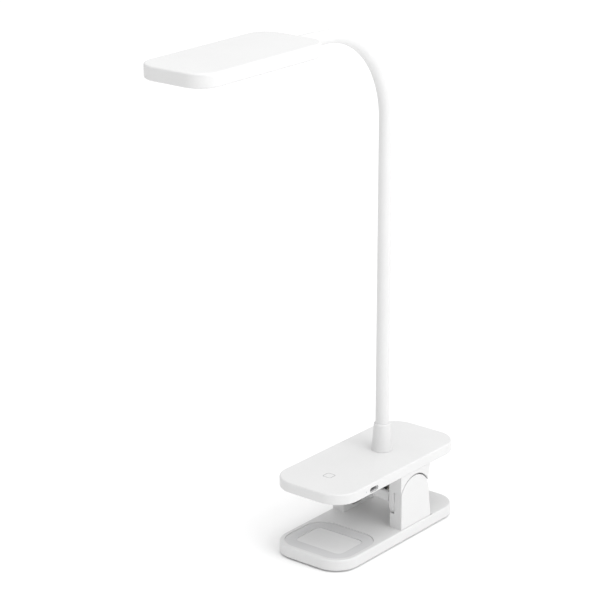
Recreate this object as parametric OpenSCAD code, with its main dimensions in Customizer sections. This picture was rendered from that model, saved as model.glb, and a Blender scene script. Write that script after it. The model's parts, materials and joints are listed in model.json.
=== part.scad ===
// Clip-on reading lamp: a sprung two-jaw clamp, a bendable neck and a flat lamp head.
// The origin is the middle of the foot pad's underside. The mouth and the head point along -Y,
// the finger tails point along +Y, and the charging socket is on the +X side.

/* [Jaws] */
// Length of both jaws
jaw_l = 140; // [112:1:170]
// Width of both jaws
jaw_w = 62.6; // [52:0.2:76]
// Corner radius of the jaws seen from above
jaw_r = 18; // [14:0.5:22]
// Thickness of the lower jaw
low_t = 8.2; // [7.6:0.1:12]
// Thickness of the upper jaw
up_t = 7.8; // [7.6:0.1:12]
// Gap between the closed jaws
jaw_gap = 40.4; // [33:0.2:50]
// Radius of the rounded jaw edges
jaw_edge = 1.2; // [0.6:0.1:1.4]
// Side wall of the jaw shells
jaw_wall = 1.6; // [1.5:0.1:2]
// Top wall of the upper jaw shell
up_roof = 1.6; // [1.4:0.1:2]
// Top wall of the lower jaw shell
low_roof = 2.4; // [2:0.1:3]
// Thickness of the plates that close the jaws
plate_t = 1.6; // [1.3:0.1:2]

/* [Hinge] */
// Distance of the hinge axis behind the middle of the jaws
hinge_y = 15.5; // [12:0.5:20]
// Height of the hinge axis over the lower jaw
hinge_h = 19.7; // [16:0.1:23]
// Clearance between the ears' round tops and the upper jaw
ear_headroom = 3.7; // [2.5:0.1:5]
// Width of each ear
ear_w = 6.5; // [5.5:0.1:9]
// Step from the jaw's side to the ear's outer face
side_step = 1; // [0.5:0.1:2]
// Thickness of the ear caps
cap_t = 1.6; // [1.2:0.1:2]
// Thickness of each inner cheek
cheek_t = 3.4; // [2.6:0.1:5]
// Radius of the hinge pin
pin_r = 2; // [1.6:0.1:2.5]
// Radius of the spring wire
wire_r = 0.9; // [0.6:0.05:1]
// Mean radius of the spring coil
coil_r = 5; // [4.6:0.1:6]
// Full turns of the spring coil
coil_turns = 8; // [5:1:9]
// Reach of the spring legs behind the hinge axis
leg_reach = 28.5; // [22:0.5:34]

/* [Grip pads] */
// Length of the grip pads
pad_l = 47.5; // [36:0.5:50]
// Margin from the jaw's outline to the grip pads
pad_margin = 3.4; // [3:0.1:6]
// Depth of the recess that holds the lower grip pad
pad_recess = 1.4; // [1:0.1:1.6]
// Thickness of the grip pads
pad_t = 1; // [0.8:0.1:1]
// Width of the inner insert
insert_w = 39.5; // [30:0.5:42]
// Length of the inner insert
insert_l = 27.5; // [20:0.5:30]
// Thickness of the foot pad
foot_t = 0.8; // [0.6:0.1:1.5]

/* [Neck] */
// Radius of the neck's sleeve
neck_r = 4.7; // [4.6:0.1:5.2]
// Distance of the neck behind the middle of the jaws
neck_y = 17; // [15:0.5:20]
// Straight height of the neck over the upper jaw
neck_rise = 237.9; // [198:0.5:290]
// Bend radius of the neck's centre line
bend_r = 68; // [56:0.5:82]
// Straight end of the neck in front of the bend
neck_reach = 8; // [8:0.5:16]
// Height of the first bending point over the upper jaw
first_bend = 32; // [27:0.5:38]
// Height of the collar at the neck's foot
collar_h = 20.1; // [16:0.1:23]

/* [Head] */
// Length of the head
head_l = 121.6; // [101:0.2:146]
// Width of the head
head_w = 55.5; // [48:0.5:67]
// Corner radius of the head seen from above
head_r = 15.3; // [12:0.1:18]
// Thickness of the head
head_t = 9.4; // [9.2:0.1:12]
// Radius of the rounded head edges
head_edge = 1.4; // [0.6:0.1:1.6]
// Wall of the head shell
head_wall = 1.8; // [1.7:0.1:2.2]
// Height of the head's underside below the neck's centre line
head_drop = 3; // [2.6:0.1:3.2]
// Length of the ferrule between neck and head
ferrule_l = 19.6; // [17:0.1:24]
// Rows of light sources on each side of the middle
led_rows = 2; // [1:1:2]
// Light sources along each row
led_cols = 9; // [5:1:11]

/* [Hidden] */
$fn = 96;

fit = 0.05;        // between pieces that are fixed in each other
slip = 0.1;        // between a plate and the shell that it closes
play = 0.3;        // between pieces that turn past each other

// Heights of the jaws
low_z0 = foot_t;
low_z1 = low_z0 + low_t;
up_z0 = low_z1 + jaw_gap;
up_z1 = up_z0 + up_t;
up_floor = up_z0 + plate_t;
up_ceiling = up_z1 - up_roof;

// Hinge
hinge_z = low_z1 + hinge_h;
ear_r = jaw_gap - hinge_h - ear_headroom;
cheek_r = ear_r - 0.5;
swing_gap = 1.1;
ear_out = jaw_w / 2 - side_step;
ear_in = ear_out - ear_w;
cheek_out = ear_in - play;
cheek_in = cheek_out - cheek_t;
ear_front = hinge_y - ear_r + 1.6;
ear_flare = 2.7;
ear_foot = 1.6;
bracket_front = hinge_y - cheek_r + 0.1;
bracket_rear = hinge_y + ear_r + 0.9;
bracket_lean = 3.6;
bush_r = pin_r + 1;
bush_flange = 0.8;
clip_r = pin_r + 1.4;
clip_t = 0.7;
clip_well = clip_r + 0.6;
well_depth = 1.9;
pin_end = ear_out - cap_t - 0.4;
clip_x = ear_out - cap_t - well_depth + 0.4;
groove_r = pin_r - 0.45;
peg_r = 1.2;
peg_l = 3;
peg_spread = ear_r - 8;
peg_drop = 8;

// Grip pads
pad_w = jaw_w - 2 * pad_margin;
pad_r = jaw_r - pad_margin;
pad_y = -jaw_l / 2 + pad_margin + pad_l / 2;
insert_r = 4.5;
insert_t = pad_t / 2;

// Screws that close the jaws
boss_in = 5.9;
boss_x = jaw_w / 2 - 14.3;
boss_r = 2.4;
screw_r = 0.95;
screw_head_r = 1.9;
screw_head_t = 1;
screw_l = 4.2;

// Parts inside the upper jaw
port_y = -33.5;
port_z = up_z0 + 3;
port_w = 8.94;
port_h = 3.26;
port_depth = 7.3;
port_inset = 1;
port_margin = 0.22;
pipe_y = -42.2;
pipe_z = up_z0 + 3.5;
pipe_r = 0.5;
board_t = 1;
board_z = port_z - board_t / 2;
board_edge = 2.2;
board_y0 = -jaw_l / 2 + boss_in + boss_r + board_edge;
board_y1 = neck_y - 31;
board_x = jaw_w / 2 - jaw_wall - board_edge;
post_r = 2;
post_x = board_x - 6;
post_y = [board_y0 + 9, board_y1 - 4];
icon_y = -43.2;
icon_size = 7;
icon_line = 0.5;
icon_depth = 0.3;
touch_size = 10;
battery_l = 32;
battery_w = 48;
battery_t = 3.9;
battery_y = jaw_l / 2 - boss_in - boss_r - 1.5 - battery_l / 2;
lead_r = 0.45;
nut_t = 2.6;
nut_r = 5.6;
nipple_r = 3.5;

// Neck
core_r = 2.5;
core_bore = 1;
nipple_in = core_r + fit;
ball_r = 2.9;
cup_r = 4;
cup_l = 7;
cup_rim = 0.4;
stem_r = 1.9;
stem_l = 5;
sleeve_gap = 2.2;
collar_r = 7.5;
collar_top_r = neck_r + 1.15;
collar_seat = 5;
bend_z = up_z1 + neck_rise;
bend_y = neck_y - bend_r;
neck_z = bend_z + bend_r;
link_l = (neck_rise - first_bend) / 4;
joint_z = [for (k = [0:4]) up_z1 + first_bend + k * link_l];

// Head
ferrule_y = bend_y - neck_reach;
ferrule_r = 5.3;
ferrule_seat = 9;
core_seat = 15;
head_y1 = ferrule_y - ferrule_l;
head_y = head_y1 - head_l / 2;
head_z0 = neck_z - head_drop;
head_z1 = head_z0 + head_t;
head_ceiling = head_z1 - head_wall;
bezel_t = 1.6;
window_l = head_l - 17.6;
window_w = head_w - 15.5;
window_r = 6;
glass_lip = 2;
glass_t = 1;
glass_inset = 0.4;
glass_z = head_z0 + bezel_t;
led_board_t = 1;
led_gap = 1.1;
led_board_z = head_ceiling - led_gap - led_board_t;
led_t = 0.7;
led_size = [2.8, 3.5];
box_wall = 1;
tongue_l = 6.6;
tongue_root = 4.2;
tongue_in = 2.6;
tongue_out = 8;
tongue_z0 = neck_z + 0.6;
tongue_t = 2.4;
tongue_screw_y = head_y1 - head_wall - 3.4;

// ---- shared shapes ----

// Rounded rectangle seen from above, w along X and l along Y
module outline(w, l, r) {
    square([w, l - 2 * r], center = true);
    square([w - 2 * r, l], center = true);
    for (x = [-1, 1], y = [-1, 1])
        translate([x * (w / 2 - r), y * (l / 2 - r)]) circle(r);
}

// Plate on z = 0 with rounded corners and sharp edges
module plate(w, l, r, t) {
    linear_extrude(t) outline(w, l, r);
}

// Plate on z = 0 whose upper and lower edges are rounded by e
module soft_plate(w, l, r, t, e) {
    steps = 4;
    low_arc = [for (i = [0:steps]) let (a = 90 * i / steps) [r - e + e * sin(a), e - e * cos(a)]];
    high_arc = [for (i = [steps:-1:0]) let (a = 90 * i / steps) [r - e + e * sin(a), t - e + e * cos(a)]];
    hull()
        for (x = [-1, 1], y = [-1, 1])
            translate([x * (w / 2 - r), y * (l / 2 - r), 0])
                rotate_extrude($fn = 48) polygon(concat([[0, 0]], low_arc, high_arc, [[0, t]]));
}

// Slot shape along X, w wide over its round ends and h high
module slot2d(w, h) {
    square([w - h, h], center = true);
    for (x = [-1, 1]) translate([x * (w - h) / 2, 0]) circle(h / 2);
}

// Solid of a side-view shape (Y, Z) between two places along X
module across(x0, x1) {
    translate([x0, 0, 0]) rotate([90, 0, 90]) linear_extrude(x1 - x0) children();
}

// Round bar along X between two places, at the hinge axis
module axle(r, x0, x1) {
    translate([x0, hinge_y, hinge_z]) rotate([0, 90, 0]) cylinder(h = x1 - x0, r = r);
}

// The four places of the screws that close a jaw
module at_bosses() {
    for (x = [-1, 1], y = [-1, 1])
        translate([x * boss_x, y * (jaw_l / 2 - boss_in), 0]) children();
}

// Countersunk screw pointing up, its head's flat face at z = 0
module screw(l, r, head_r, head_t) {
    cylinder(h = head_t, r1 = head_r, r2 = r);
    cylinder(h = l, r = r);
}

// The room that such a screw needs in the plate that it holds
module screw_room(r, head_r, head_t, t) {
    translate([0, 0, -slip]) cylinder(h = slip + fit, r = head_r + fit);
    cylinder(h = head_t + fit, r1 = head_r + fit, r2 = r + fit);
    cylinder(h = t + slip, r = r + slip);
}

// ---- lower jaw ----

// Side view of an ear with its flared rear edge and small foot fillets
module ear_profile() {
    z0 = low_z1 - 0.5;
    intersection() {
        union() {
            translate([hinge_y, hinge_z]) circle(ear_r);
            polygon([
                [ear_front, z0],
                [ear_front, hinge_z],
                [hinge_y + ear_r, hinge_z],
                [hinge_y + ear_r + ear_flare, z0]
            ]);
            translate([hinge_y + ear_r + ear_flare - 1, z0])
                square([1 + ear_foot, 0.5 + ear_foot]);
        }
        translate([ear_front, z0]) square([3 * ear_r, jaw_gap]);
    }
}

// Side view of the fillet behind the ear's foot
module ear_fillet_cut() {
    translate([hinge_y + ear_r + ear_flare + ear_foot + 0.1, low_z1 + ear_foot]) circle(ear_foot);
}

// One ear, with the lower part that reaches inwards under the cheek
module ear(side) {
    mirror([side < 0 ? 1 : 0, 0, 0])
        difference() {
            union() {
                across(ear_in, ear_out - cap_t)
                    difference() {
                        ear_profile();
                        ear_fillet_cut();
                    }
                across(cheek_in, ear_in)
                    difference() {
                        ear_profile();
                        ear_fillet_cut();
                        translate([hinge_y, hinge_z]) circle(cheek_r + swing_gap);
                        translate([ear_front - 1, hinge_z]) square([3 * ear_r, 3 * ear_r]);
                    }
            }
            axle(pin_r + fit / 2, ear_in - 1, ear_out);
            axle(clip_well, ear_out - cap_t - well_depth, ear_out);
            at_pegs() axle_peg(peg_r + fit, peg_l + 0.3);
        }
}

// The two places of an ear cap's pegs, in front of and behind the pin
module at_pegs() {
    for (s = [-1, 1]) translate([0, s * peg_spread, -peg_drop]) children();
}

// A peg at the ear cap's inner face, pointing inwards
module axle_peg(r, l) {
    translate([ear_out - cap_t - l, hinge_y, hinge_z]) rotate([0, 90, 0]) cylinder(h = l + 0.2, r = r);
}

module low_shell() {
    color("white") {
        difference() {
            translate([0, 0, low_z0]) soft_plate(jaw_w, jaw_l, jaw_r, low_t, jaw_edge);
            translate([0, 0, low_z0 - 1])
                plate(jaw_w - 2 * jaw_wall, jaw_l - 2 * jaw_wall, jaw_r - jaw_wall, low_t - low_roof + 1);
            translate([0, pad_y, low_z1 - pad_recess]) plate(pad_w, pad_l, pad_r, pad_recess + 1);
        }
        at_bosses() difference() {
            translate([0, 0, low_z0 + plate_t]) cylinder(h = low_t - low_roof - plate_t + 0.2, r = boss_r);
            translate([0, 0, low_z0]) cylinder(h = screw_l + 0.4, r = screw_r + fit);
        }
        ear(1);
        ear(-1);
    }
}

module low_cover() {
    color("white")
        translate([0, 0, low_z0]) difference() {
            plate(jaw_w - 2 * jaw_wall - 2 * slip, jaw_l - 2 * jaw_wall - 2 * slip,
                jaw_r - jaw_wall - slip, plate_t);
            at_bosses() screw_room(screw_r, screw_head_r, screw_head_t, plate_t);
        }
}

module low_screws() {
    color("silver")
        at_bosses() translate([0, 0, low_z0]) screw(screw_l, screw_r, screw_head_r, screw_head_t);
}

module foot_pad() {
    color("gainsboro") plate(jaw_w - 6, jaw_l - 6, jaw_r - 3, foot_t);
}

module ballast() {
    ballast_room = low_t - plate_t - low_roof;
    color("dimgray")
        translate([0, 0, low_z0 + plate_t + 0.2])
            plate(jaw_w - 14, jaw_l - 2 * boss_in - 2 * boss_r - 3, 6, ballast_room - 0.5);
}

module grip_ring() {
    color("lightgray")
        translate([0, pad_y, low_z1 - pad_recess]) difference() {
            plate(pad_w - 2 * slip, pad_l - 2 * slip, pad_r - slip, pad_t);
            translate([0, 0, -1])
                plate(insert_w + 2 * fit, insert_l + 2 * fit, insert_r + fit, pad_t + 2);
        }
}

module grip_insert() {
    color("gainsboro")
        translate([0, pad_y, low_z1 - pad_recess]) plate(insert_w, insert_l, insert_r, insert_t);
}

module ear_cap(side) {
    color("white")
        mirror([side < 0 ? 1 : 0, 0, 0]) {
            across(ear_out - cap_t, ear_out)
                intersection() {
                    difference() {
                        ear_profile();
                        ear_fillet_cut();
                    }
                    translate([0, low_z1]) square([3 * jaw_gap, jaw_gap]);
                }
            at_pegs() axle_peg(peg_r, peg_l);
        }
}

module hinge_pin() {
    color("silver")
        difference() {
            axle(pin_r, -pin_end, pin_end);
            for (s = [-1, 1]) {
                x0 = s > 0 ? clip_x : -clip_x - clip_t;
                difference() {
                    axle(pin_r + 1, x0, x0 + clip_t);
                    axle(groove_r, x0 - 1, x0 + clip_t + 1);
                }
            }
        }
}

module pin_clips() {
    color("dimgray")
        for (s = [-1, 1]) {
            x0 = (s > 0 ? clip_x : -clip_x - clip_t) + fit;
            x1 = x0 + clip_t - 2 * fit;
            difference() {
                axle(clip_r, x0, x1);
                axle(groove_r + fit, x0 - 1, x1 + 1);
                translate([x0 - 1, hinge_y - groove_r, hinge_z - 2 * clip_r])
                    cube([clip_t + 2, 2 * groove_r, 2 * clip_r]);
            }
        }
}

module spring_tube() {
    color("whitesmoke")
        difference() {
            axle(coil_r - wire_r - 0.4, -cheek_in + bush_flange + play, cheek_in - bush_flange - play);
            axle(pin_r + fit, -jaw_w, jaw_w);
        }
}

// Torsion spring: each ring of the wire is [x, y, z, angle round the hinge axis, share of twist]
leg_up = [hinge_y + leg_reach, up_z0 - wire_r - fit];
leg_low = [hinge_y + leg_reach, low_z1 + wire_r + fit];
function reach(p) = norm([p[0] - hinge_y, p[1] - hinge_z]);
function bearing(p) = atan2(p[1] - hinge_z, p[0] - hinge_y);
turn_0 = bearing(leg_up) + acos(coil_r / reach(leg_up));
turn_1 = bearing(leg_low) - acos(coil_r / reach(leg_low)) + 360 * (coil_turns + 1);
coil_pitch = 2 * wire_r + 0.2;
coil_x = coil_pitch * (turn_1 - turn_0) / 360 / 2;
coil_steps = 20 * coil_turns;
coil_rings = [for (i = [0:coil_steps])
    let (f = i / coil_steps, a = turn_0 + f * (turn_1 - turn_0))
    [-coil_x + 2 * coil_x * f, hinge_y + coil_r * cos(a), hinge_z + coil_r * sin(a), a, 1]];
spring_rings = concat(
    [[-coil_x, leg_up[0], leg_up[1], turn_0, 0]],
    coil_rings,
    [[coil_x, leg_low[0], leg_low[1], turn_1, 0]]);
wire_sides = 8;

// Points round the wire at one ring
function wire_ring(q) =
    let (
        out = [0, cos(q[3]), sin(q[3])],
        rise = coil_pitch / 360 * 180 / PI * q[4],
        way = [rise, -coil_r * sin(q[3]), coil_r * cos(q[3])] / norm([rise, coil_r, 0]),
        side = cross(way, out)
    )
    [for (j = [0:wire_sides - 1])
        [q[0], q[1], q[2]] + wire_r * (cos(360 * j / wire_sides) * out + sin(360 * j / wire_sides) * side)];

module torsion_spring() {
    last = len(spring_rings) - 1;
    points = [for (q = spring_rings) each wire_ring(q)];
    sides = [for (i = [0:last - 1], j = [0:wire_sides - 1])
        let (a = i * wire_sides + j, b = i * wire_sides + (j + 1) % wire_sides)
        each [[b, a, b + wire_sides], [a, a + wire_sides, b + wire_sides]]];
    ends = [
        [for (j = [0:wire_sides - 1]) j],
        [for (j = [wire_sides - 1:-1:0]) last * wire_sides + j]
    ];
    color("silver") polyhedron(points, concat(sides, ends));
}

// ---- upper jaw ----

// Side view of the bracket that hangs from the upper jaw
module bracket_profile() {
    polygon([
        [bracket_front, up_z0 + 0.5],
        [bracket_front, hinge_z],
        [bracket_rear - bracket_lean, hinge_z],
        [bracket_rear, up_z0 + 0.5]
    ]);
}

// Inner cheek with the outer block that lies flush with the ear
module cheek(side) {
    rim = jaw_w / 2 - jaw_wall - slip;
    mirror([side < 0 ? 1 : 0, 0, 0])
        difference() {
            union() {
                across(cheek_in, cheek_out) {
                    bracket_profile();
                    translate([hinge_y, hinge_z]) circle(cheek_r);
                }
                across(cheek_out - 0.5, ear_out)
                    difference() {
                        bracket_profile();
                        translate([hinge_y, hinge_z]) circle(ear_r + swing_gap);
                    }
            }
            axle(bush_r + fit, cheek_in - 1, cheek_out + 1);
            translate([rim, -jaw_l / 2, up_z0 - slip]) cube([jaw_w, jaw_l, up_t]);
        }
}

module up_tray() {
    color("white") difference() {
        union() {
            translate([0, 0, up_z0])
                plate(jaw_w - 2 * jaw_wall - 2 * slip, jaw_l - 2 * jaw_wall - 2 * slip,
                    jaw_r - jaw_wall - slip, plate_t);
            cheek(1);
            cheek(-1);
            for (s = [-1, 1], y = post_y)
                translate([s * post_x, y, up_z0 + 0.5]) cylinder(h = board_z - up_z0 - 0.5, r = post_r);
        }
        at_bosses() translate([0, 0, up_z0]) screw_room(screw_r, screw_head_r, screw_head_t, plate_t);
        for (s = [-1, 1], y = post_y)
            translate([s * post_x, y, up_z0 + 0.6]) cylinder(h = up_t, r = 0.6 + fit);
        port_room(0.15);
    }
}

// Room round the charging socket
module port_room(gap) {
    x1 = jaw_w / 2 - port_inset + gap;
    translate([x1 - port_depth - 2 * gap, port_y - port_w / 2 - gap, port_z - port_h / 2 - gap])
        cube([port_depth + 2 * gap, port_w + 2 * gap, port_h + 2 * gap]);
}

module up_shell() {
    color("white") {
        difference() {
            translate([0, 0, up_z0]) soft_plate(jaw_w, jaw_l, jaw_r, up_t, jaw_edge);
            translate([0, 0, up_z0 - 1])
                plate(jaw_w - 2 * jaw_wall, jaw_l - 2 * jaw_wall, jaw_r - jaw_wall, up_t - up_roof + 1);
            translate([0, neck_y, up_z0]) cylinder(h = up_t + 1, r = nipple_r + fit);
            translate([jaw_w / 2 - jaw_wall - 1, port_y, port_z])
                rotate([90, 0, 90]) linear_extrude(jaw_wall + 2)
                    slot2d(port_w + 2 * port_margin, port_h + 2 * port_margin);
            translate([jaw_w / 2 - jaw_wall - 1, pipe_y, pipe_z])
                rotate([0, 90, 0]) cylinder(h = jaw_wall + 2, r = pipe_r + fit);
            translate([0, icon_y, up_z1 - icon_depth]) icon_shape(icon_depth + 1);
        }
        at_bosses() difference() {
            translate([0, 0, up_floor]) cylinder(h = up_ceiling - up_floor + 0.2, r = boss_r);
            translate([0, 0, up_z0]) cylinder(h = screw_l + 0.4, r = screw_r + fit);
        }
    }
}

// Rounded square ring of the touch mark
module icon_shape(t) {
    difference() {
        plate(icon_size, icon_size, 1.6, t);
        translate([0, 0, -1]) plate(icon_size - 2 * icon_line, icon_size - 2 * icon_line, 1.1, t + 2);
    }
}

module touch_icon() {
    color("gray") translate([0, icon_y, up_z1 - icon_depth]) icon_shape(icon_depth);
}

module cheek_brace() {
    brace_r = cheek_r - 1.4;
    brace_t = 1.8;
    brace_low = 0.6;
    brace_h = 6.6;
    brace_step = 0.9;
    brace_end = cheek_in - 1.7;
    arch_half = 14.5;
    arch_rise = 2.2;
    arch_r = (pow(arch_half, 2) + pow(arch_rise, 2)) / arch_rise / 2;
    color("whitesmoke")
        intersection() {
            difference() {
                union() {
                    axle(brace_r, -brace_end, brace_end);
                    axle(brace_r - brace_step, -cheek_in + fit, cheek_in - fit);
                }
                axle(brace_r - brace_t, -jaw_w, jaw_w);
                translate([0, hinge_y, hinge_z - brace_low + arch_rise - arch_r])
                    rotate([90, 0, 0]) cylinder(h = 4 * cheek_r, r = arch_r, center = true, $fn = 360);
            }
            translate([-jaw_w / 2, hinge_y - 2 * cheek_r, hinge_z - brace_low])
                cube([jaw_w, 2 * cheek_r, brace_h]);
        }
}

module hinge_bushes() {
    color("ivory")
        for (s = [-1, 1]) mirror([s < 0 ? 1 : 0, 0, 0])
            difference() {
                union() {
                    axle(bush_r, cheek_in - bush_flange, cheek_out);
                    axle(bush_r + 1.2, cheek_in - bush_flange, cheek_in);
                }
                axle(pin_r + fit, 0, jaw_w);
            }
}

module up_screws() {
    color("silver")
        at_bosses() translate([0, 0, up_z0]) screw(screw_l, screw_r, screw_head_r, screw_head_t);
}

module up_grip_pad() {
    color("lightgray")
        translate([0, pad_y, up_z0 - pad_t]) plate(pad_w, pad_l, pad_r, pad_t);
}

module battery() {
    color("steelblue")
        translate([0, battery_y, up_floor + 0.1]) plate(battery_w, battery_l, 1.5, battery_t);
}

module main_board() {
    color("seagreen")
        difference() {
            translate([-board_x, board_y0, board_z]) cube([2 * board_x, board_y1 - board_y0, board_t]);
            port_room(0.15);
            for (s = [-1, 1], y = post_y)
                translate([s * post_x, y, board_z - 1]) cylinder(h = board_t + 2, r = 0.6 + slip);
            for (s = [-1, 1])
                translate([s * board_x, board_y0, board_z - 1])
                    rotate([0, 0, 45]) cube([14, 14, 6], center = true);
        }
}

module board_chips() {
    color("dimgray")
        translate([0, board_y1, board_z + board_t]) {
            translate([-14, -12, 0]) cube([5, 5, 1]);
            translate([-4, -9, 0]) cube([4, 4, 0.9]);
            translate([6, -14, 0]) cube([4.2, 4.2, 1.8]);
            translate([-12, -22, 0]) cube([3, 6, 1.1]);
            translate([-18, -20, 0]) cube([2, 4, 1.2]);
        }
}

module board_screws() {
    color("silver")
        for (s = [-1, 1], y = post_y)
            translate([s * post_x, y, board_z + board_t]) {
                cylinder(h = 0.8, r = 1.3);
                translate([0, 0, -2]) cylinder(h = 2.2, r = 0.6);
            }
}

module usb_c_socket() {
    shell_t = 0.3;
    color("silver")
        translate([jaw_w / 2 - port_inset - port_depth, port_y, port_z])
            rotate([90, 0, 90]) {
                difference() {
                    linear_extrude(port_depth) slot2d(port_w, port_h);
                    translate([0, 0, 1])
                        linear_extrude(port_depth) slot2d(port_w - 2 * shell_t, port_h - 2 * shell_t);
                }
                translate([0, 0, port_depth / 2]) cube([6.6, 0.7, port_depth - 1.2], center = true);
            }
}

module charge_light_pipe() {
    color("aliceblue")
        translate([jaw_w / 2 - 0.1, pipe_y, pipe_z]) rotate([0, -90, 0]) {
            cylinder(h = jaw_wall + 1, r = pipe_r);
            translate([0, 0, jaw_wall + 0.2]) cylinder(h = 1.2, r = pipe_r + 0.7);
        }
}

module touch_pad() {
    pad_z0 = board_z + board_t;
    color("darkgray")
        translate([0, icon_y, pad_z0]) plate(touch_size, touch_size, 1, up_ceiling - pad_z0);
}

// Straight round lead between two points that differ along one axis only
module lead(from, to) {
    way = to - from;
    turn = way[2] != 0 ? [way[2] < 0 ? 180 : 0, 0, 0] : [way[1] < 0 ? 90 : -90, 0, 0];
    translate(from) rotate(turn) cylinder(h = norm(way), r = lead_r, $fn = 24);
    translate(from) sphere(lead_r, $fn = 24);
    translate(to) sphere(lead_r, $fn = 24);
}

module battery_leads() {
    lead_z = board_z + board_t + lead_r;
    color("firebrick")
        for (x = [9, 10.6])
            lead([x, battery_y - battery_l / 2 - lead_r, lead_z], [x, board_y1 - 1.5, lead_z]);
}

module lamp_leads() {
    low = up_floor + lead_r + 0.1;
    color("black")
        for (x = [-0.7, 0.7]) {
            lead([x, neck_y, up_z1], [x, neck_y, low]);
            lead([x, neck_y, low], [x, board_y1 + lead_r, low]);
        }
}

// ---- neck ----

module neck_collar() {
    edge = 0.7;
    color("white")
        translate([0, neck_y, up_z1]) difference() {
            rotate_extrude() polygon([
                [0, 0],
                [collar_r, 0],
                [collar_r, edge],
                [collar_r - 0.35, 2],
                [collar_top_r, collar_h - edge],
                [collar_top_r - edge, collar_h],
                [0, collar_h]
            ]);
            translate([0, 0, collar_seat]) cylinder(h = collar_h, r = neck_r + fit);
            translate([0, 0, -1]) cylinder(h = collar_seat + 2, r = nipple_r + fit);
        }
}

module neck_nipple() {
    color("silver")
        translate([0, neck_y, up_ceiling - nut_t - 0.4]) difference() {
            cylinder(h = nut_t + 0.4 + up_roof + collar_seat - slip, r = nipple_r);
            translate([0, 0, -1]) cylinder(h = 30, r = nipple_in);
        }
}

module nipple_nut() {
    color("silver")
        translate([0, neck_y, up_ceiling - nut_t]) difference() {
            cylinder(h = nut_t, r = nut_r, $fn = 6);
            translate([0, 0, -1]) cylinder(h = nut_t + 2, r = nipple_r + fit);
        }
}

// Ball end of a straight core, whose centre is at the origin and whose stem points down
module ball_end() {
    sphere(ball_r);
    translate([0, 0, -stem_l]) cylinder(h = stem_l, r = stem_r);
}

// Core of a straight link from the bend at z = 0 to the bend at z = l
module straight_core(l) {
    difference() {
        union() {
            translate([0, 0, cup_rim]) cylinder(h = cup_l - cup_rim, r = cup_r);
            translate([0, 0, cup_l - 0.2]) cylinder(h = l - cup_l - stem_l + 0.4, r = core_r);
            translate([0, 0, l]) ball_end();
        }
        sphere(ball_r + 0.2);
        translate([0, 0, -1]) cylinder(h = l + 2 * ball_r, r = core_bore);
    }
}

// Sleeve of a straight link
module straight_sleeve(l) {
    difference() {
        translate([0, 0, sleeve_gap]) cylinder(h = l - 2 * sleeve_gap, r = neck_r);
        translate([0, 0, -1]) cylinder(h = l + 2, r = core_r + fit);
        translate([0, 0, -1]) cylinder(h = cup_l + 1 + fit, r = cup_r + fit);
    }
}

// Places children in the plane of the bend, angles counted from the top of the straight part
module in_bend() {
    translate([0, bend_y, bend_z]) rotate([90, 0, 90]) children();
}

// Round bar along the bend between two angles
module bent_bar(r, a0, a1) {
    in_bend() rotate([0, 0, a0]) rotate_extrude(angle = a1 - a0) translate([bend_r, 0]) circle(r);
}

// Angle of the bend that a length along its centre line takes
function bend_angle(s) = s / bend_r * 180 / PI;

// Places children at an angle of the bend
module at_bend(a) {
    translate([0, bend_y + bend_r * cos(a), bend_z + bend_r * sin(a)]) children();
}

// Core of a bent link between two angles
module bent_core(a0, a1) {
    difference() {
        union() {
            bent_bar(cup_r, a0 + bend_angle(cup_rim), a0 + bend_angle(cup_l));
            bent_bar(core_r, a0 + bend_angle(cup_l - 0.2), a1 - bend_angle(stem_l - 0.2));
            bent_bar(stem_r, a1 - bend_angle(stem_l), a1);
            at_bend(a1) sphere(ball_r);
        }
        at_bend(a0) sphere(ball_r + 0.2);
        bent_bar(core_bore, a0 - 1, a1 + bend_angle(2 * ball_r));
    }
}

// Sleeve of a bent link between two angles
module bent_sleeve(a0, a1) {
    difference() {
        bent_bar(neck_r, a0 + bend_angle(sleeve_gap), a1 - bend_angle(sleeve_gap));
        bent_bar(core_r + fit, a0, a1);
        bent_bar(cup_r + fit, a0, a0 + bend_angle(cup_l + fit));
    }
}

module neck_core(k) {
    color("silver")
        if (k < 5) translate([0, neck_y, joint_z[k - 1]]) straight_core(link_l);
        else bent_core(45 * (k - 5), 45 * (k - 4));
}

module neck_sleeve(k) {
    color("white")
        if (k < 5) translate([0, neck_y, joint_z[k - 1]]) straight_sleeve(link_l);
        else bent_sleeve(45 * (k - 5), 45 * (k - 4));
}

module neck_core_foot() {
    z0 = up_z1 + 0.5;
    color("silver")
        translate([0, neck_y, z0]) difference() {
            union() {
                cylinder(h = joint_z[0] - z0 - stem_l + 0.2, r = core_r);
                translate([0, 0, joint_z[0] - z0]) ball_end();
            }
            translate([0, 0, -1]) cylinder(h = first_bend + 10, r = core_bore + 0.4);
        }
}

module neck_sleeve_foot() {
    z0 = up_z1 + collar_seat + slip;
    color("white")
        translate([0, neck_y, z0]) difference() {
            cylinder(h = joint_z[0] - sleeve_gap - z0, r = neck_r);
            translate([0, 0, -1]) cylinder(h = first_bend + 1, r = core_r + fit);
        }
}

// Places children at the last bend, with z pointing along the neck towards the head
module at_last_bend() {
    translate([0, bend_y, neck_z]) rotate([90, 0, 0]) children();
}

module neck_core_end() {
    core_end = neck_reach + core_seat;
    color("silver")
        at_last_bend() difference() {
            union() {
                translate([0, 0, cup_rim]) cylinder(h = cup_l - cup_rim, r = cup_r);
                translate([0, 0, cup_l - 0.2]) cylinder(h = core_end - cup_l + 0.2, r = core_r);
            }
            sphere(ball_r + 0.2);
            translate([0, 0, -1]) cylinder(h = core_end + 2, r = core_bore + 0.4);
        }
}

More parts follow.
